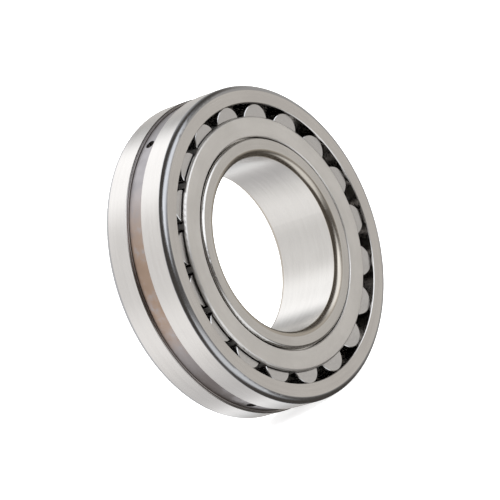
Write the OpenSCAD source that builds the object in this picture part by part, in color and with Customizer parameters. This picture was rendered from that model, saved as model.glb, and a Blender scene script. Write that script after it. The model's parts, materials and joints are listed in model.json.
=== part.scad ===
// Double-row spherical roller bearing with a lubrication groove round its outside.
// The bearing's axis runs along Y, its front face looks towards -Y, and its centre is the origin.
// Each piece is drawn round a local Z axis, front upwards, and then laid along Y.

/* [Main sizes] */
// Bore diameter, which seats on the shaft
bore_d = 55; // [44:0.5:70]
// Radial height of the bearing, from its bore to its outside
section_h = 22.5; // [18:0.5:28]
// Width between the side faces, the same for both rings
width = 25; // [20.5:0.5:31]

/* [Rings] */
// Wall of the outer ring at its middle, where the raceway is deepest
outer_wall = 4.26; // [3.4:0.02:5.2]
// Least wall of the inner ring under the middle of a roller
inner_wall = 6.7; // [5.5:0.1:8.5]
// Turned corner radius of the outer ring's outside edges
outer_corner_r = 2.1; // [1:0.1:2.6]
// Turned corner radius at the two ends of the bore
bore_corner_r = 2.2; // [1:0.1:2.7]
// Turned corner radius of the inner ring's shoulders
shoulder_corner_r = 1.1; // [0.8:0.1:1.8]
// Depth ground off the faces and cylinders after the corners are turned
grind_off = 0.03; // [0.01:0.01:0.06]
// Step from the inner raceway down to the shoulder beside it
shoulder_drop = 0.75; // [0.5:0.05:1.6]
// Width of each shoulder of the inner ring
shoulder_w = 2; // [1.6:0.1:2.4]
// Turned radius between the outer ring's side faces and its raceway
race_edge_r = 0.55; // [0.3:0.05:0.8]
// Small bevel that breaks the other sharp edges
edge_bevel = 0.25; // [0.1:0.05:0.3]

/* [Lubrication] */
// Width of the groove in the outside
groove_w = 6; // [4:0.1:7.5]
// Depth of the groove
groove_depth = 1; // [0.6:0.05:1.4]
// Radius between the groove's walls and its floor
groove_fillet = 0.45; // [0.2:0.05:0.55]
// Diameter of the holes from the groove to the raceway
hole_d = 3; // [1.5:0.1:4]
// Number of holes
hole_count = 3; // [2:1:6]
// Angle of the first hole
hole_phase = -5; // [-60:0.5:60]

/* [Rollers] */
// Rollers in each row
roller_count = 19; // [14:1:26]
// Least gap between neighbouring rollers, on their pitch circle
roller_gap = 2.3; // [1.8:0.05:3.5]
// Distance between the two rows' inner end faces, at the roller axes
row_gap = 3.9; // [3.2:0.1:5]
// Play between a roller and each raceway
race_play = 0.07; // [0.04:0.01:0.1]
// How much tighter than the raceway a roller's own barrel curve is
barrel_relief = 1.3; // [0.5:0.1:3]
// Rounded edge of a roller's end faces
roller_edge_r = 0.45; // [0.2:0.05:0.6]
// Angle of the first roller in the front row
front_phase = 8.3; // [0:0.1:18.9]

/* [Guide ring] */
// Play between the guide ring and the roller ends on each side of it
guide_side_play = 0.15; // [0.1:0.01:0.3]
// Play between the guide ring and the inner ring's middle land
guide_bore_play = 0.1; // [0.05:0.01:0.2]
// Drop from the roller axes to the outside of the guide ring
guide_drop = 0.95; // [0.6:0.05:2]

/* [Cages] */
// Thickness of the pressed sheet
sheet_t = 1; // [0.8:0.05:1.2]
// Outside radius of the bend between flange and wall
bend_r = 1; // [0.6:0.05:1.4]
// Recess of the flange behind the rings' side faces
flange_recess = 0.5; // [0.3:0.05:1]
// Gap between the flange and the inner ring's shoulder
flange_gap = 0.45; // [0.35:0.05:1.2]
// Gap between the flange and the roller ends, at the roller axes
flange_end_gap = 0.4; // [0.25:0.05:0.6]
// Height of the wall's underside above the roller axes
wall_lift = 0.1; // [0:0.05:0.9]
// Gap beside each roller in its window
window_gap = 0.35; // [0.25:0.05:0.45]
// Gap beyond each end of a roller in its window
window_end_gap = 0.4; // [0.3:0.05:0.8]
// Gap between the two cages, back to back
cage_gap = 0.5; // [0.3:0.05:0.8]

/* [Hidden] */
$fn = 180;
far = 3 * section_h;
front = 1;
rear = -1;

// Rings
half_w = width / 2;
bore_r = bore_d / 2;
outer_r = bore_r + section_h;
race_r = outer_r - outer_wall;
flange_front = half_w - flange_recess;
flange_back = flange_front - sheet_t;

// Roller ends along their row's axis, and the middle of a roller, as axial distances
roller_inner_end = row_gap / 2;
roller_outer_end = flange_back - flange_end_gap;
roller_mid = (roller_inner_end + roller_outer_end) / 2;

// A roller is as thick as the walls of the rings allow, and as its neighbours do
fit_between_rings = race_r - 2 * race_play - norm([bore_r + inner_wall, roller_mid]);
pitch_chord = 2 * sin(180 / roller_count);
room = race_r - race_play;
chord_a = 1 - pow(pitch_chord, 2) / 4;
chord_b = 2 * roller_gap + pow(pitch_chord, 2) * room;
chord_c = pow(roller_gap, 2) - pow(pitch_chord, 2) * (pow(room, 2) - pow(roller_mid, 2));
fit_side_by_side = (sqrt(pow(chord_b, 2) - 4 * chord_a * chord_c) - chord_b) / (2 * chord_a);
roller_d = min(fit_between_rings, fit_side_by_side);
roller_r = roller_d / 2;

// The contact line leans out from the bearing's centre, and a roller lies square to it
roller_reach = room - roller_r;
contact_angle = asin(roller_mid / roller_reach);
roller_pitch_r = roller_reach * cos(contact_angle);
roller_len = (roller_outer_end - roller_inner_end) / cos(contact_angle);
barrel_r = race_r - barrel_relief;
barrel_centre = barrel_r - roller_r;
inner_end_r = roller_pitch_r + roller_len / 2 * sin(contact_angle);
roller_end_r = sqrt(pow(barrel_r, 2) - pow(roller_len / 2, 2)) - barrel_centre;

// Inner raceways: arcs of the outer raceway's radius, centred outside the bearing
arc_reach = roller_reach - roller_r - race_play + race_r;
arc_centre_r = arc_reach * cos(contact_angle);
arc_centre_t = arc_reach * sin(contact_angle);
function inner_race(t) = arc_centre_r - sqrt(pow(race_r, 2) - pow(t - arc_centre_t, 2));
shoulder_t = half_w - shoulder_w;
shoulder_r = inner_race(shoulder_t) - shoulder_drop;
middle_land_r = inner_race(roller_inner_end - roller_end_r * sin(contact_angle)) - 0.1;

// Guide ring: its sides lie parallel to the roller ends
guide_inner_r = middle_land_r + guide_bore_play;
guide_outer_r = inner_end_r - guide_drop;
guide_axis_half_w = roller_inner_end - guide_side_play / cos(contact_angle);
function guide_half_w(r) = guide_axis_half_w + (r - inner_end_r) * tan(contact_angle);

// Cages: the wall lies parallel to the roller axes
wall_reach = roller_reach + wall_lift;
flange_inner_r = shoulder_r + flange_gap;
function wall_r(reach, t) = (reach - t * sin(contact_angle)) / cos(contact_angle);
window_w = 2 * sqrt(pow(roller_r, 2) - pow(wall_lift, 2)) + 2 * window_gap;
wall_sag = roller_pitch_r - sqrt(pow(roller_pitch_r, 2) - pow(window_w / 2, 2));
window_floor = wall_lift - wall_sag - window_gap;

// Angles of the rollers
roller_pitch = 360 / roller_count;
function phase(row) = row == front ? front_phase : front_phase + roller_pitch / 2;
function angle(row, i) = phase(row) + (i - 1) * roller_pitch;

// Node names
function two_digits(i) = i < 10 ? str("0", i) : str(i);
function row_name(row) = row == front ? "front" : "rear";
function roller_name(row, i) = str("roller_", row_name(row), "_", two_digits(i));
function cage_name(row) = str("cage_", row_name(row));
ROWS = [front, rear];

// Lays a piece drawn round Z along the bearing's axis, front face towards -Y
module lay() {
    rotate([90, 0, 0]) children();
}

// Turns a profile drawn in the plane of radius and axial distance into a ring
module ring() {
    lay() rotate_extrude() children();
}

// Repeats a profile's cut on the front and on the rear
module both_sides() {
    for (side = [0, 1]) mirror([0, side]) children();
}

// Cut that rounds a square corner at [r, t] whose solid lies below t and inside r
module corner_outside(r, t, radius) {
    translate([r, t]) difference() {
        translate([-radius, -radius]) square(2 * radius);
        translate([grind_off - radius, grind_off - radius]) circle(radius);
    }
}

// The same for a corner whose solid lies outside r
module corner_inside(r, t, radius) {
    translate([r, t]) mirror([1, 0]) corner_outside(0, 0, radius);
}

// Cut that bevels an edge at [r, t]
module bevel(r, t, leg) {
    translate([r, t]) rotate(45) square(leg * sqrt(2), center = true);
}

module groove_profile() {
    floor_r = outer_r - groove_depth;
    difference() {
        translate([floor_r, -groove_w / 2]) square([2 * groove_depth, groove_w]);
        both_sides() corner_inside(floor_r, groove_w / 2, groove_fillet);
    }
    both_sides() bevel(outer_r, groove_w / 2, edge_bevel);
}

module outer_ring_profile() {
    inside_r = sqrt(pow(race_r, 2) - pow(half_w, 2));
    difference() {
        translate([inside_r, -half_w]) square([outer_r - inside_r, width]);
        circle(race_r);
        both_sides() corner_outside(outer_r, half_w, outer_corner_r);
        both_sides() corner_inside(inside_r, half_w, race_edge_r);
        groove_profile();
    }
}

module outer_ring() {
    color("#b5b3ae") difference() {
        ring() outer_ring_profile();
        for (i = [1:hole_count])
            lay() rotate([0, 90, hole_phase + i * 360 / hole_count]) cylinder(d = hole_d, h = far);
    }
}

module inner_ring_profile() {
    difference() {
        translate([bore_r, -half_w]) square([middle_land_r - bore_r, width]);
        both_sides() translate([arc_centre_r, arc_centre_t]) circle(race_r);
        both_sides() translate([shoulder_r, shoulder_t]) square(far);
        both_sides() corner_outside(shoulder_r, half_w, shoulder_corner_r);
        both_sides() corner_inside(bore_r, half_w, bore_corner_r);
        both_sides() bevel(inner_race(shoulder_t), shoulder_t, edge_bevel);
    }
}

module inner_ring() {
    color("#b8b6b1") ring() inner_ring_profile();
}

module guide_ring() {
    half_in = guide_half_w(guide_inner_r);
    half_out = guide_half_w(guide_outer_r);
    color("#a9a7a2") ring() difference() {
        polygon([
            [guide_inner_r, -half_in],
            [guide_outer_r, -half_out],
            [guide_outer_r, half_out],
            [guide_inner_r, half_in]
        ]);
        both_sides() bevel(guide_outer_r, half_out, edge_bevel);
        both_sides() bevel(guide_inner_r, half_in, edge_bevel);
    }
}

// Rounds the outside of the bend between the flange and the wall
module bend_cut() {
    inset = bend_r - grind_off;
    centre_t = flange_front - inset;
    centre_r = wall_r(wall_reach + sheet_t - inset, centre_t);
    square_to_wall = [cos(contact_angle), sin(contact_angle)] * 2 * bend_r;
    square_to_flange = [0, 2 * bend_r];
    translate([centre_r, centre_t]) difference() {
        polygon([[0, 0], square_to_wall, square_to_wall + square_to_flange, square_to_flange]);
        circle(bend_r, $fn = 90);
    }
}

module cage_profile() {
    rim_t = cage_gap / 2;
    outside = wall_reach + sheet_t;
    difference() {
        polygon([
            [flange_inner_r, flange_front],
            [flange_inner_r, flange_back],
            [wall_r(wall_reach, flange_back), flange_back],
            [wall_r(wall_reach, rim_t), rim_t],
            [wall_r(outside, rim_t), rim_t],
            [wall_r(outside, flange_front), flange_front]
        ]);
        bend_cut();
        bevel(flange_inner_r, flange_front, edge_bevel);
        bevel(flange_inner_r, flange_back, edge_bevel);
        bevel(wall_r(outside, rim_t), rim_t, edge_bevel);
    }
}

// Sets a piece drawn round its own axis in a roller's place in a row
module at_roller(row, i) {
    lay() mirror([0, 0, row == rear ? 1 : 0]) rotate([0, 0, angle(row, i)])
        translate([roller_pitch_r, 0, roller_mid]) rotate([0, -contact_angle, 0]) children();
}

// Window for one roller: it is longer in the wall than in the flange's back, and stops behind
// the flange's front. It runs along X away from the roller's axis, and along Z with it.
module window() {
    in_flange = roller_len / 2 + flange_end_gap / 2;
    in_wall = roller_len / 2 + window_end_gap;
    rotate([90, 0, 0]) linear_extrude(window_w, center = true) polygon([
        [window_floor, -in_flange],
        [wall_lift, -in_flange],
        [wall_lift, -in_wall],
        [roller_r, -in_wall],
        [roller_r, in_wall],
        [wall_lift, in_wall],
        [wall_lift, in_flange],
        [window_floor, in_flange]
    ]);
}

module cage(row) {
    color("#bab7b0") difference() {
        mirror([0, row == rear ? 1 : 0, 0]) ring() cage_profile();
        for (i = [1:roller_count]) at_roller(row, i) window();
    }
}

// Barrel-shaped roller round its own Z axis
module roller_profile() {
    edge_t = roller_len / 2 - roller_edge_r + grind_off;
    edge_reach = barrel_r - roller_edge_r + grind_off;
    edge_r = sqrt(pow(edge_reach, 2) - pow(edge_t, 2)) - barrel_centre;
    square_to_barrel = [edge_r + barrel_centre, edge_t] * 2 * roller_edge_r / edge_reach;
    square_to_end = [0, 2 * roller_edge_r];
    difference() {
        intersection() {
            translate([-barrel_centre, 0]) circle(barrel_r);
            translate([0, -roller_len / 2]) square([roller_d, roller_len]);
        }
        both_sides() translate([edge_r, edge_t]) difference() {
            polygon([[0, 0], square_to_barrel, square_to_barrel + square_to_end, square_to_end]);
            circle(roller_edge_r);
        }
    }
}

module roller(row, i) {
    color("#aeb0b3") at_roller(row, i) rotate_extrude() roller_profile();
}

outer_ring();
inner_ring();
guide_ring();
for (row = ROWS)
    cage(row);
for (row = ROWS, i = [1:roller_count])
    roller(row, i);
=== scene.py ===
"""Spherical roller bearing: looks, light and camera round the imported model."""

import json
import math

import bpy
from mathutils import Matrix, Vector


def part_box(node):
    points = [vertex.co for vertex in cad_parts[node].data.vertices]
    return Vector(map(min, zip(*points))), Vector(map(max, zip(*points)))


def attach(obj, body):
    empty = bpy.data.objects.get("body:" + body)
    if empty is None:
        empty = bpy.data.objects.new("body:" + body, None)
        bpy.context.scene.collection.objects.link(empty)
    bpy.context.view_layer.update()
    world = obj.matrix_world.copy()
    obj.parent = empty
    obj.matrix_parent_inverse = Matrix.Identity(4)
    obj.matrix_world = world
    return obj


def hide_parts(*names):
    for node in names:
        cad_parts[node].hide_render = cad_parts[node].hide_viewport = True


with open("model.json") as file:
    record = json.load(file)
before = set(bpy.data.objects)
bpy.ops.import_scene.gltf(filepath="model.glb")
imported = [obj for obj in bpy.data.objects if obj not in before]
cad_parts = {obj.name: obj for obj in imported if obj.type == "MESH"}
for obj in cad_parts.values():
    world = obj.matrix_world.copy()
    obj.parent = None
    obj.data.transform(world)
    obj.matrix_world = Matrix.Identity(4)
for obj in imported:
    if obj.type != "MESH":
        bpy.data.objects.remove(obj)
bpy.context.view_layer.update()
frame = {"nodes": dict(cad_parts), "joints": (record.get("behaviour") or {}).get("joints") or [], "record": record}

MM = 0.001
LOW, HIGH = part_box("outer_ring")
OUTER_R = (HIGH.x - LOW.x) / 2
BORE_R = next(m["dims"]["r_mm"] for m in frame["record"]["mounts"] if m["name"] == "bore") * MM
HALF_W = (HIGH.y - LOW.y) / 2

# Lubrication groove, and the depth of the turned corners beside the side faces
GROOVE_HALF_W = 3.0 * MM
GROOVE_LOW, GROOVE_HIGH = OUTER_R - 1.6 * MM, OUTER_R - 0.25 * MM
CORNER_FROM, CORNER_FULL = HALF_W - 2.1 * MM, HALF_W - 1.8 * MM

# Camera: direction from the bearing in degrees, roll about the line of sight, and framing
VIEW_AZIMUTH = -49.19
VIEW_ELEVATION = 8.0
VIEW_ROLL = math.radians(-24.45)
VIEW_DISTANCE = 1.207
VIEW_REACH = 50.0
VIEW_PAN_RIGHT = 0.00054
VIEW_PAN_UP = 0.000575
LENS_MM = 282.7
SENSOR_MM = 36.0

# Studio panels seen in the steel, in degrees: azimuth 0 is in front of the bearing and 90 to its
# right. Each is azimuth, elevation, half width, half height, softness of its edge, and colour. The
# gap's colour is negative: it takes light away from the paper behind.
PANELS = {
    "window_in_front": (2, 34, 30, 20, 8, (1.80, 1.90, 2.06)),
    "table_in_front": (-18, -40, 30, 22, 9, (1.32, 1.38, 1.46)),
    "window_on_the_left": (-30, 34, 11, 10, 7, (0.62, 0.64, 0.67)),
    "wall_on_the_right": (80, 0, 58, 27, 9, (0.64, 0.635, 0.625)),
    "paper_behind": (-166, 0, 47, 56, 10, (1.03, 1.05, 1.085)),
    "lamp_behind": (160, 48, 32, 18, 14, (0.72, 0.75, 0.79)),
    "lamp_on_the_left": (-128, -20, 18, 15, 9, (0.26, 0.265, 0.275)),
    "glint_below": (142, -36, 12, 8, 6, (0.75, 0.78, 0.82)),
    "dark_gap_below": (174, -52, 26, 5, 5, (-0.28, -0.28, -0.27)),
}
# Light between the panels, what the camera sees behind the bearing, and light on the floor
ROOM_GLOW = (0.120, 0.110, 0.100)
BACKDROP = (1.0, 1.0, 1.0)
SKY_POWER = 3.5
SKY_SPREAD = math.radians(120)
FLOOR_HALF = 30.0
FLOOR_WHITE = (0.93, 0.93, 0.93)
FLOOR_ROUGH = 0.95
FLOOR_GLOW = 0.72

# Steels: light and dark patches of each, what stains them, and the painted shade on the outer corners and in the
# groove
RING_LIGHT, RING_DARK = (0.585, 0.560, 0.530), (0.540, 0.515, 0.488)
RACE_LIGHT, RACE_DARK = (0.575, 0.552, 0.520), (0.530, 0.508, 0.478)
ROLLER_LIGHT, ROLLER_DARK = (0.545, 0.530, 0.515), (0.500, 0.487, 0.474)
GUIDE_LIGHT, GUIDE_DARK = (0.540, 0.520, 0.490), (0.470, 0.452, 0.428)
CAGE_LIGHT, CAGE_DARK = (0.580, 0.557, 0.525), (0.520, 0.499, 0.470)
# Dark grey for the outer ring's rounded corners: painted shade for the dark band they reflect
CORNER_SHADE_GREY = (0.365, 0.360, 0.358)
CORNER_STRAW = (0.430, 0.390, 0.335)
GROOVE_GREY = (0.350, 0.330, 0.332)
GROOVE_TAN = (0.370, 0.268, 0.203)
# Painted shade in the groove: darker low on the left, and darker still in the creases beside its walls
GROOVE_LOW_SHADE = (0.190, 0.165, 0.155)
GROOVE_CREASE_SHADE = (0.130, 0.105, 0.092)

# Roughness of each steel, and how far it wanders
RING_ROUGH, RACE_ROUGH, ROLLER_ROUGH, GUIDE_ROUGH, CAGE_ROUGH = 0.20, 0.20, 0.18, 0.34, 0.30
ROUGH_WANDER = 0.03
ROUGH_LINES = 0.07

# Size of the noises, in repeats per metre, and relief of the finest lines, in metres
LINES, ROLLER_LINES, CAGE_LINES = 5200.0, 6500.0, 1500.0
STREAK_SHARE = 0.14
CLOUDS, ROLLER_CLOUDS = 70.0, 150.0
SPECKS, BLOTCHES, MOTTLE = 2600.0, 260.0, 900.0
LINE_RELIEF, CAGE_RELIEF = 0.003 * MM, 0.002 * MM

# Noise along a turn: fine lines barely change round the axis, and broad streaks change a little
LINE_TURNS, STREAK_TURNS = 0.7, 1.5

# Where the groove is stained, and where painted shade darkens it low on the left: angles up from the bearing's
# left, in radians, with how far blotches push them and how soft their ends are
STAIN_FROM, STAIN_TO, STAIN_SOFT = 0.06, 0.86, 0.26
LOW_SHADE_FROM, LOW_SHADE_TO, LOW_SHADE_SOFT = -0.72, -0.12, 0.24
STAIN_PUSH = 0.5


# ---------------------------------------------------------------- node helpers
def make_material(name):
    """A new material with its node tree and its Principled shader."""
    material = bpy.data.materials.new(name)
    material.use_nodes = True
    return material, material.node_tree, material.node_tree.nodes["Principled BSDF"]


def plug(tree, value, socket):
    """Sets a socket to a number, a colour or another node's output."""
    if isinstance(value, bpy.types.NodeSocket):
        tree.links.new(value, socket)
    else:
        socket.default_value = value


def calc(tree, operation, *values, clamp=False):
    node = tree.nodes.new("ShaderNodeMath")
    node.operation = operation
    node.use_clamp = clamp
    for socket, value in zip(node.inputs, values):
        plug(tree, value, socket)
    return node.outputs[0]


def ramp(tree, value, low, high, to_low=0.0, to_high=1.0):
    """Maps value from low..high to to_low..to_high with soft ends."""
    node = tree.nodes.new("ShaderNodeMapRange")
    node.interpolation_type = "SMOOTHSTEP"
    for name, number in (("Value", value), ("From Min", low), ("From Max", high)):
        plug(tree, number, node.inputs[name])
    node.inputs["To Min"].default_value = to_low
    node.inputs["To Max"].default_value = to_high
    return node.outputs["Result"]


def blend_colour(tree, factor, a, b):
    node = tree.nodes.new("ShaderNodeMix")
    node.data_type = "RGBA"
    plug(tree, factor, node.inputs["Factor"])
    for socket, value in ((node.inputs[6], a), (node.inputs[7], b)):
        plug(tree, value if isinstance(value, bpy.types.NodeSocket) else (*value, 1.0), socket)
    return node.outputs[2]


def blend_value(tree, factor, a, b):
    node = tree.nodes.new("ShaderNodeMix")
    plug(tree, factor, node.inputs["Factor"])
    plug(tree, a, node.inputs[2])
    plug(tree, b, node.inputs[3])
    return node.outputs[0]


def noise(tree, vector, scale, detail=4.0, roughness=0.6):
    node = tree.nodes.new("ShaderNodeTexNoise")
    plug(tree, vector, node.inputs["Vector"])
    node.inputs["Scale"].default_value = scale
    node.inputs["Detail"].default_value = detail
    node.inputs["Roughness"].default_value = roughness
    return node.outputs["Fac"]


def combine(tree, x, y, z):
    node = tree.nodes.new("ShaderNodeCombineXYZ")
    for socket, value in zip(node.inputs, (x, y, z)):
        plug(tree, value, socket)
    return node.outputs[0]


def separate(tree, vector):
    node = tree.nodes.new("ShaderNodeSeparateXYZ")
    tree.links.new(vector, node.inputs[0])
    return node.outputs


def polar(tree, along_axis):
    """Place, radius, angle (radians) and axial place about an axis ("Y" or "Z"), in metres."""
    place = tree.nodes.new("ShaderNodeTexCoord").outputs["Object"]
    x, y, z = separate(tree, place)
    across, along = (z, y) if along_axis == "Y" else (y, z)
    squares = calc(tree, "ADD", calc(tree, "MULTIPLY", x, x), calc(tree, "MULTIPLY", across, across))
    return place, calc(tree, "SQRT", squares), calc(tree, "ARCTAN2", across, x), along


def facing(tree, along_axis):
    """1 on flat side faces, 0 on cylinders."""
    normal = separate(tree, tree.nodes.new("ShaderNodeTexCoord").outputs["Normal"])
    share = calc(tree, "ABSOLUTE", normal["XYZ".index(along_axis)])
    return ramp(tree, share, 0.93, 0.995)


def between(tree, value, low, high, soft):
    """1 where value lies between low and high, with soft edges."""
    rise = ramp(tree, value, low - soft, low + soft)
    fall = ramp(tree, value, high - soft, high + soft, 1.0, 0.0)
    return calc(tree, "MULTIPLY", rise, fall)


def bump(tree, shader, height, distance, strength=1.0):
    node = tree.nodes.new("ShaderNodeBump")
    node.inputs["Strength"].default_value = strength
    node.inputs["Distance"].default_value = distance
    plug(tree, height, node.inputs["Height"])
    tree.links.new(node.outputs[0], shader.inputs["Normal"])


# ---------------------------------------------------------------- materials
def grinding_lines(tree, radius, angle, along, side_face, per_metre, turns):
    """Lines left by the grinding wheel: rings on side faces, and rounds on cylinders."""
    around_x = calc(tree, "MULTIPLY", calc(tree, "COSINE", angle), turns)
    around_y = calc(tree, "MULTIPLY", calc(tree, "SINE", angle), turns)
    across = calc(tree, "MULTIPLY", blend_value(tree, side_face, along, radius), per_metre)
    return noise(tree, combine(tree, around_x, around_y, across), 1.0, 3.0)


def steel(name, light, dark, rough, axis="Y", lines_per_metre=LINES, clouds_per_metre=CLOUDS,
          relief=LINE_RELIEF):
    """Ground steel: fine lines round the axis over a cloudy sheen. Returns its working parts."""
    material, tree, shader = make_material(name)
    place, radius, angle, along = polar(tree, axis)
    side_face = facing(tree, axis)
    lines = grinding_lines(tree, radius, angle, along, side_face, lines_per_metre, LINE_TURNS)
    streaks = grinding_lines(tree, radius, angle, along, side_face,
                             STREAK_SHARE * lines_per_metre, STREAK_TURNS)
    clouds = noise(tree, place, clouds_per_metre, 5.0)
    tone = calc(tree, "ADD", calc(tree, "MULTIPLY", clouds, 0.5), calc(tree, "MULTIPLY", streaks, 0.5))
    colour = blend_colour(tree, ramp(tree, tone, 0.38, 0.62), dark, light)
    wear = ramp(tree, noise(tree, place, SPECKS, 2.0), 0.62, 0.8, 0.0, 0.35)
    colour = blend_colour(tree, wear, colour, tuple(0.72 * c for c in dark))
    patchy = ramp(tree, tone, 0.35, 0.65, rough - ROUGH_WANDER, rough + ROUGH_WANDER)
    uneven = calc(tree, "ADD", patchy, calc(tree, "MULTIPLY", lines, ROUGH_LINES))
    bump(tree, shader, lines, relief, 0.6)
    shader.inputs["Metallic"].default_value = 1.0
    plug(tree, colour, shader.inputs["Base Color"])
    plug(tree, uneven, shader.inputs["Roughness"])
    parts = {"tree": tree, "shader": shader, "place": place, "radius": radius, "angle": angle,
             "along": along, "colour": colour, "rough": uneven}
    return material, parts


def tint_and_shade_corners(made, near_corner, tint):
    """Colours the corners, which were turned and hardened but never ground; on the outer ring the grey is painted
    shade standing in for the dark band the corner reflects.
    """
    tree = made["tree"]
    by_face = ramp(tree, calc(tree, "ABSOLUTE", made["along"]), CORNER_FROM, CORNER_FULL)
    share = calc(tree, "MULTIPLY", by_face, near_corner)
    made["colour"] = blend_colour(tree, share, made["colour"], tint)


def make_race_steel():
    """Inner ring: satin faces and a straw-coloured corner at each end of the bore."""
    material, made = steel("race_steel", RACE_LIGHT, RACE_DARK, RACE_ROUGH)
    near_bore = ramp(made["tree"], made["radius"], BORE_R + 1.8 * MM, BORE_R + 2.1 * MM, 1.0, 0.0)
    tint_and_shade_corners(made, near_bore, CORNER_STRAW)
    plug(made["tree"], made["colour"], made["shader"].inputs["Base Color"])
    return material


def from_the_left(tree, angle):
    """Turns an angle about the axis into one that is 0 at the bearing's left and grows upwards."""
    leftwards = calc(tree, "MULTIPLY", calc(tree, "COSINE", angle), -1.0)
    return calc(tree, "ARCTAN2", calc(tree, "SINE", angle), leftwards)


def groove_floor_colour(made, blotches, off_middle):
    """Grey floor, tan stain, painted shade low on the left broken up by blotches, and painted shade in the creases
    beside the groove's walls.
    """
    tree = made["tree"]
    drift = calc(tree, "ADD", from_the_left(tree, made["angle"]),
                 calc(tree, "MULTIPLY", blotches, STAIN_PUSH))
    stain = calc(tree, "MULTIPLY", between(tree, drift, STAIN_FROM, STAIN_TO, STAIN_SOFT),
                 ramp(tree, blotches, 0.2, 0.55))
    # Painted shade low on the left of the groove, broken up by the blotches
    low_left_shade = calc(tree, "MULTIPLY", between(tree, drift, LOW_SHADE_FROM, LOW_SHADE_TO, LOW_SHADE_SOFT),
                 ramp(tree, blotches, 0.2, 0.5))
    # Painted shade in the creases at the foot of the groove's walls
    beside_wall = ramp(tree, off_middle, GROOVE_HALF_W - 0.65 * MM, GROOVE_HALF_W - 0.25 * MM)
    low_down = ramp(tree, made["radius"], OUTER_R - 0.75 * MM, OUTER_R - 0.55 * MM, 1.0, 0.0)
    crease_shade = calc(tree, "MULTIPLY", calc(tree, "MULTIPLY", beside_wall, low_down), 0.85)
    colour = blend_colour(tree, stain, GROOVE_GREY, GROOVE_TAN)
    colour = blend_colour(tree, low_left_shade, colour, GROOVE_LOW_SHADE)
    return blend_colour(tree, crease_shade, colour, GROOVE_CREASE_SHADE)


def make_ring_steel():
    """Outer ring: smooth lands, satin faces, corners darkened with painted shade, and a stained lubrication groove
    with painted shade in it.
    """
    material, made = steel("ring_steel", RING_LIGHT, RING_DARK, RING_ROUGH)
    tree, shader, radius = made["tree"], made["shader"], made["radius"]
    # The outer corners are darkened all round with painted shade
    tint_and_shade_corners(made, ramp(tree, radius, OUTER_R - 2.0 * MM, OUTER_R - 1.7 * MM), CORNER_SHADE_GREY)
    off_middle = calc(tree, "ABSOLUTE", made["along"])
    in_groove = calc(
        tree, "MULTIPLY",
        ramp(tree, off_middle, GROOVE_HALF_W - 0.1 * MM, GROOVE_HALF_W + 0.1 * MM, 1.0, 0.0),
        between(tree, radius, GROOVE_LOW, GROOVE_HIGH, 0.1 * MM))
    blotches = noise(tree, made["place"], BLOTCHES, 6.0, 0.7)
    floor_colour = groove_floor_colour(made, blotches, off_middle)
    colour = blend_colour(tree, in_groove, made["colour"], floor_colour)
    # Painted shade: a dark line along each top edge of the groove
    beside_edge = between(tree, off_middle, GROOVE_HALF_W + 0.02 * MM, GROOVE_HALF_W + 0.22 * MM,
                          0.04 * MM)
    near_top = ramp(tree, radius, OUTER_R - 0.4 * MM, OUTER_R - 0.3 * MM)
    brink_shade = calc(tree, "MULTIPLY", beside_edge, near_top)
    colour = blend_colour(tree, calc(tree, "MULTIPLY", brink_shade, 0.6), colour, GROOVE_CREASE_SHADE)
    plug(tree, colour, shader.inputs["Base Color"])
    duller = calc(tree, "ADD", made["rough"], ramp(tree, blotches, 0.2, 0.8, 0.06, 0.2))
    plug(tree, blend_value(tree, in_groove, made["rough"], duller), shader.inputs["Roughness"])
    return material


def make_cage_steel():
    """Pressed sheet: satin and finely mottled, with a thin dull film over the metal."""
    material, made = steel("cage_steel", CAGE_LIGHT, CAGE_DARK, CAGE_ROUGH,
                           lines_per_metre=CAGE_LINES, relief=CAGE_RELIEF)
    tree, shader = made["tree"], made["shader"]
    shader.inputs["Metallic"].default_value = 0.9
    mottle = noise(tree, made["place"], MOTTLE, 3.0, 0.7)
    rough = calc(tree, "ADD", made["rough"], ramp(tree, mottle, 0.3, 0.7, -0.03, 0.05))
    plug(tree, rough, shader.inputs["Roughness"])
    return material


def make_steels():
    return {
        "ring_steel": make_ring_steel(),
        "race_steel": make_race_steel(),
        "roller_steel": steel("roller_steel", ROLLER_LIGHT, ROLLER_DARK, ROLLER_ROUGH, "Z",
                              ROLLER_LINES, ROLLER_CLOUDS)[0],
        "cage_steel": make_cage_steel(),
        "guide_steel": steel("guide_steel", GUIDE_LIGHT, GUIDE_DARK, GUIDE_ROUGH)[0],
    }


def dress_cad_nodes(steels):
    for part in frame["record"]["subparts"]:
        mesh = frame["nodes"][part["node"]].data
        mesh.materials.clear()
        mesh.materials.append(steels[part["material_slot"]])


# ---------------------------------------------------------------- rollers
ROLLER_SEGMENTS = 96


def roller_place(node):
    """Turns a mesh drawn round its own Z axis into the roller's place."""
    joint = next(joint for joint in frame["joints"] if joint["child"] == node)
    turn = Vector(joint["axis"]).normalized().to_track_quat("Z", "Y")
    return Matrix.Translation(Vector(joint["pos_m"])) @ turn.to_matrix().to_4x4()


def roller_outline(node):
    """Half outline of the CAD roller as (along, away) pairs, read off its mesh."""
    to_local = roller_place(node).inverted()
    pairs = set()
    for vertex in frame["nodes"][node].data.vertices:
        x, y, z = to_local @ vertex.co
        pairs.add((round(z, 5), round(math.hypot(x, y), 5)))
    outline = []
    for pair in sorted(pairs):
        if not outline or pair[0] > outline[-1][0]:
            outline.append(pair)
    return outline


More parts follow.
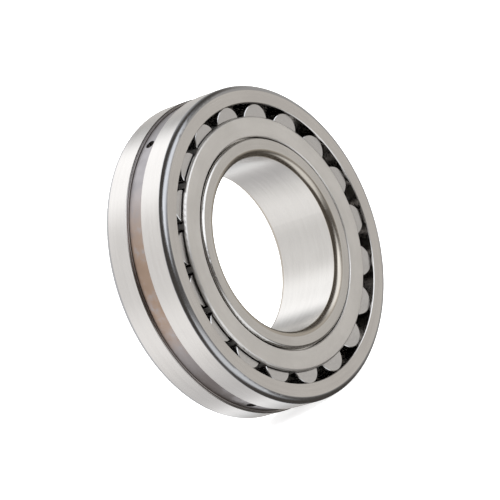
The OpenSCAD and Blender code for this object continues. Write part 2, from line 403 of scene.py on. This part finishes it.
def make_roller_mesh(outline):
    """The outline turned round Z, with flat ends."""
    mesh = bpy.data.meshes.new("roller")
    points, faces = [], []
    for along, away in outline:
        for k in range(ROLLER_SEGMENTS):
            turn = 2 * math.pi * k / ROLLER_SEGMENTS
            points.append((away * math.cos(turn), away * math.sin(turn), along))
    for row in range(len(outline) - 1):
        for k in range(ROLLER_SEGMENTS):
            a, b = row * ROLLER_SEGMENTS + k, row * ROLLER_SEGMENTS + (k + 1) % ROLLER_SEGMENTS
            faces.append((a, b, b + ROLLER_SEGMENTS, a + ROLLER_SEGMENTS))
    last = (len(outline) - 1) * ROLLER_SEGMENTS
    faces.append(tuple(reversed(range(ROLLER_SEGMENTS))))
    faces.append(tuple(range(last, last + ROLLER_SEGMENTS)))
    mesh.from_pydata(points, [], faces)
    mesh.polygons.foreach_set("use_smooth", [True] * len(faces))
    for edge in mesh.edges:
        edge.use_edge_sharp = all(v < ROLLER_SEGMENTS for v in edge.vertices) or all(
            v >= last for v in edge.vertices)
    mesh.update()
    return mesh


def make_rollers(material):
    nodes = [part["node"] for part in frame["record"]["subparts"] if part["node"].startswith("roller_")]
    mesh = make_roller_mesh(roller_outline(nodes[0]))
    mesh.materials.append(material)
    for node in nodes:
        roller = bpy.data.objects.new(node + "_ground", mesh)
        bpy.context.scene.collection.objects.link(roller)
        roller.matrix_world = roller_place(node)
        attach(roller, node)
        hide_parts(node)


# ---------------------------------------------------------------- stage
def direction(azimuth, elevation):
    """Unit vector from the bearing; azimuth 0 is in front and 90 to the right, in degrees."""
    a, e = math.radians(azimuth), math.radians(elevation)
    return Vector((math.sin(a) * math.cos(e), -math.cos(a) * math.cos(e), math.sin(e)))


def make_camera():
    """Camera at the photo's angle."""
    level = (-direction(VIEW_AZIMUTH, VIEW_ELEVATION)).to_track_quat("-Z", "Y").to_matrix()
    turned = level @ Matrix.Rotation(VIEW_ROLL, 3, "Z")
    camera = bpy.data.objects.new("camera", bpy.data.cameras.new("camera"))
    camera.data.lens = LENS_MM
    camera.data.sensor_width = SENSOR_MM
    camera.data.clip_end = VIEW_REACH
    offset = turned @ Vector((VIEW_PAN_RIGHT, VIEW_PAN_UP, VIEW_DISTANCE))
    camera.matrix_world = Matrix.Translation(offset) @ turned.to_4x4()
    bpy.context.scene.collection.objects.link(camera)
    bpy.context.scene.camera = camera


def make_floor():
    """Plain white paper under the bearing, with a slight glow of its own so that shadows stay faint."""
    mesh = bpy.data.meshes.new("floor")
    signs = ((-1, -1), (1, -1), (1, 1), (-1, 1))
    corners = [(x * FLOOR_HALF, y * FLOOR_HALF, LOW.z) for x, y in signs]
    mesh.from_pydata(corners, [], [(0, 1, 2, 3)])
    floor = bpy.data.objects.new("floor", mesh)
    material, _, shader = make_material("floor_paper")
    shader.inputs["Base Color"].default_value = (*FLOOR_WHITE, 1.0)
    shader.inputs["Roughness"].default_value = FLOOR_ROUGH
    shader.inputs["Specular IOR Level"].default_value = 0.0
    shader.inputs["Emission Color"].default_value = (*BACKDROP, 1.0)
    shader.inputs["Emission Strength"].default_value = FLOOR_GLOW
    mesh.materials.append(material)
    bpy.context.scene.collection.objects.link(floor)
    floor.visible_glossy = False


def make_sky():
    """Wide soft light from overhead for the floor, unseen in the steel."""
    light = bpy.data.lights.new("sky", "SUN")
    light.energy = SKY_POWER
    light.angle = SKY_SPREAD
    sky = bpy.data.objects.new("sky", light)
    sky.location = (0, 0, 2)
    sky.visible_glossy = False
    bpy.context.scene.collection.objects.link(sky)


def dot(tree, vector, fixed):
    node = tree.nodes.new("ShaderNodeVectorMath")
    node.operation = "DOT_PRODUCT"
    tree.links.new(vector, node.inputs[0])
    node.inputs[1].default_value = fixed
    return node.outputs["Value"]


def colour_sum(tree, total, colour, share):
    """total + colour x share, as vectors."""
    node = tree.nodes.new("ShaderNodeVectorMath")
    node.operation = "MULTIPLY_ADD"
    node.inputs[0].default_value = colour
    tree.links.new(share, node.inputs[1])
    plug(tree, total, node.inputs[2])
    return node.outputs["Vector"]


def panel(tree, looking, azimuth, elevation, half_w, half_h, soft):
    """Soft-edged rectangle of light in the world, centred on azimuth and elevation."""
    centre = direction(azimuth, elevation)
    right = Vector((math.cos(math.radians(azimuth)), math.sin(math.radians(azimuth)), 0.0))
    up = centre.cross(right)
    sideways = calc(tree, "ARCTAN2", dot(tree, looking, right), dot(tree, looking, centre))
    upwards = calc(tree, "ARCSINE", dot(tree, looking, up))
    shares = []
    for angle, half in ((sideways, half_w), (upwards, half_h)):
        near, far = math.radians(half - soft), math.radians(half + soft)
        shares.append(ramp(tree, calc(tree, "ABSOLUTE", angle), near, far, 1.0, 0.0))
    return calc(tree, "MULTIPLY", *shares)


def make_world():
    """White to the camera, and a dim room with soft panels to everything else."""
    world = bpy.data.worlds.new("studio")
    world.use_nodes = True
    bpy.context.scene.world = world
    tree = world.node_tree
    looking = tree.nodes.new("ShaderNodeTexCoord").outputs["Generated"]
    glow = ROOM_GLOW
    for *shape, colour in PANELS.values():
        glow = colour_sum(tree, glow, colour, panel(tree, looking, *shape))
    seen = tree.nodes.new("ShaderNodeLightPath").outputs["Is Camera Ray"]
    colour = blend_colour(tree, seen, glow, BACKDROP)
    plug(tree, colour, tree.nodes["Background"].inputs["Color"])


bpy.context.scene.view_settings.view_transform = "Standard"
make_camera()
make_world()
make_floor()
make_sky()
STEELS = make_steels()
dress_cad_nodes(STEELS)
make_rollers(STEELS["roller_steel"])
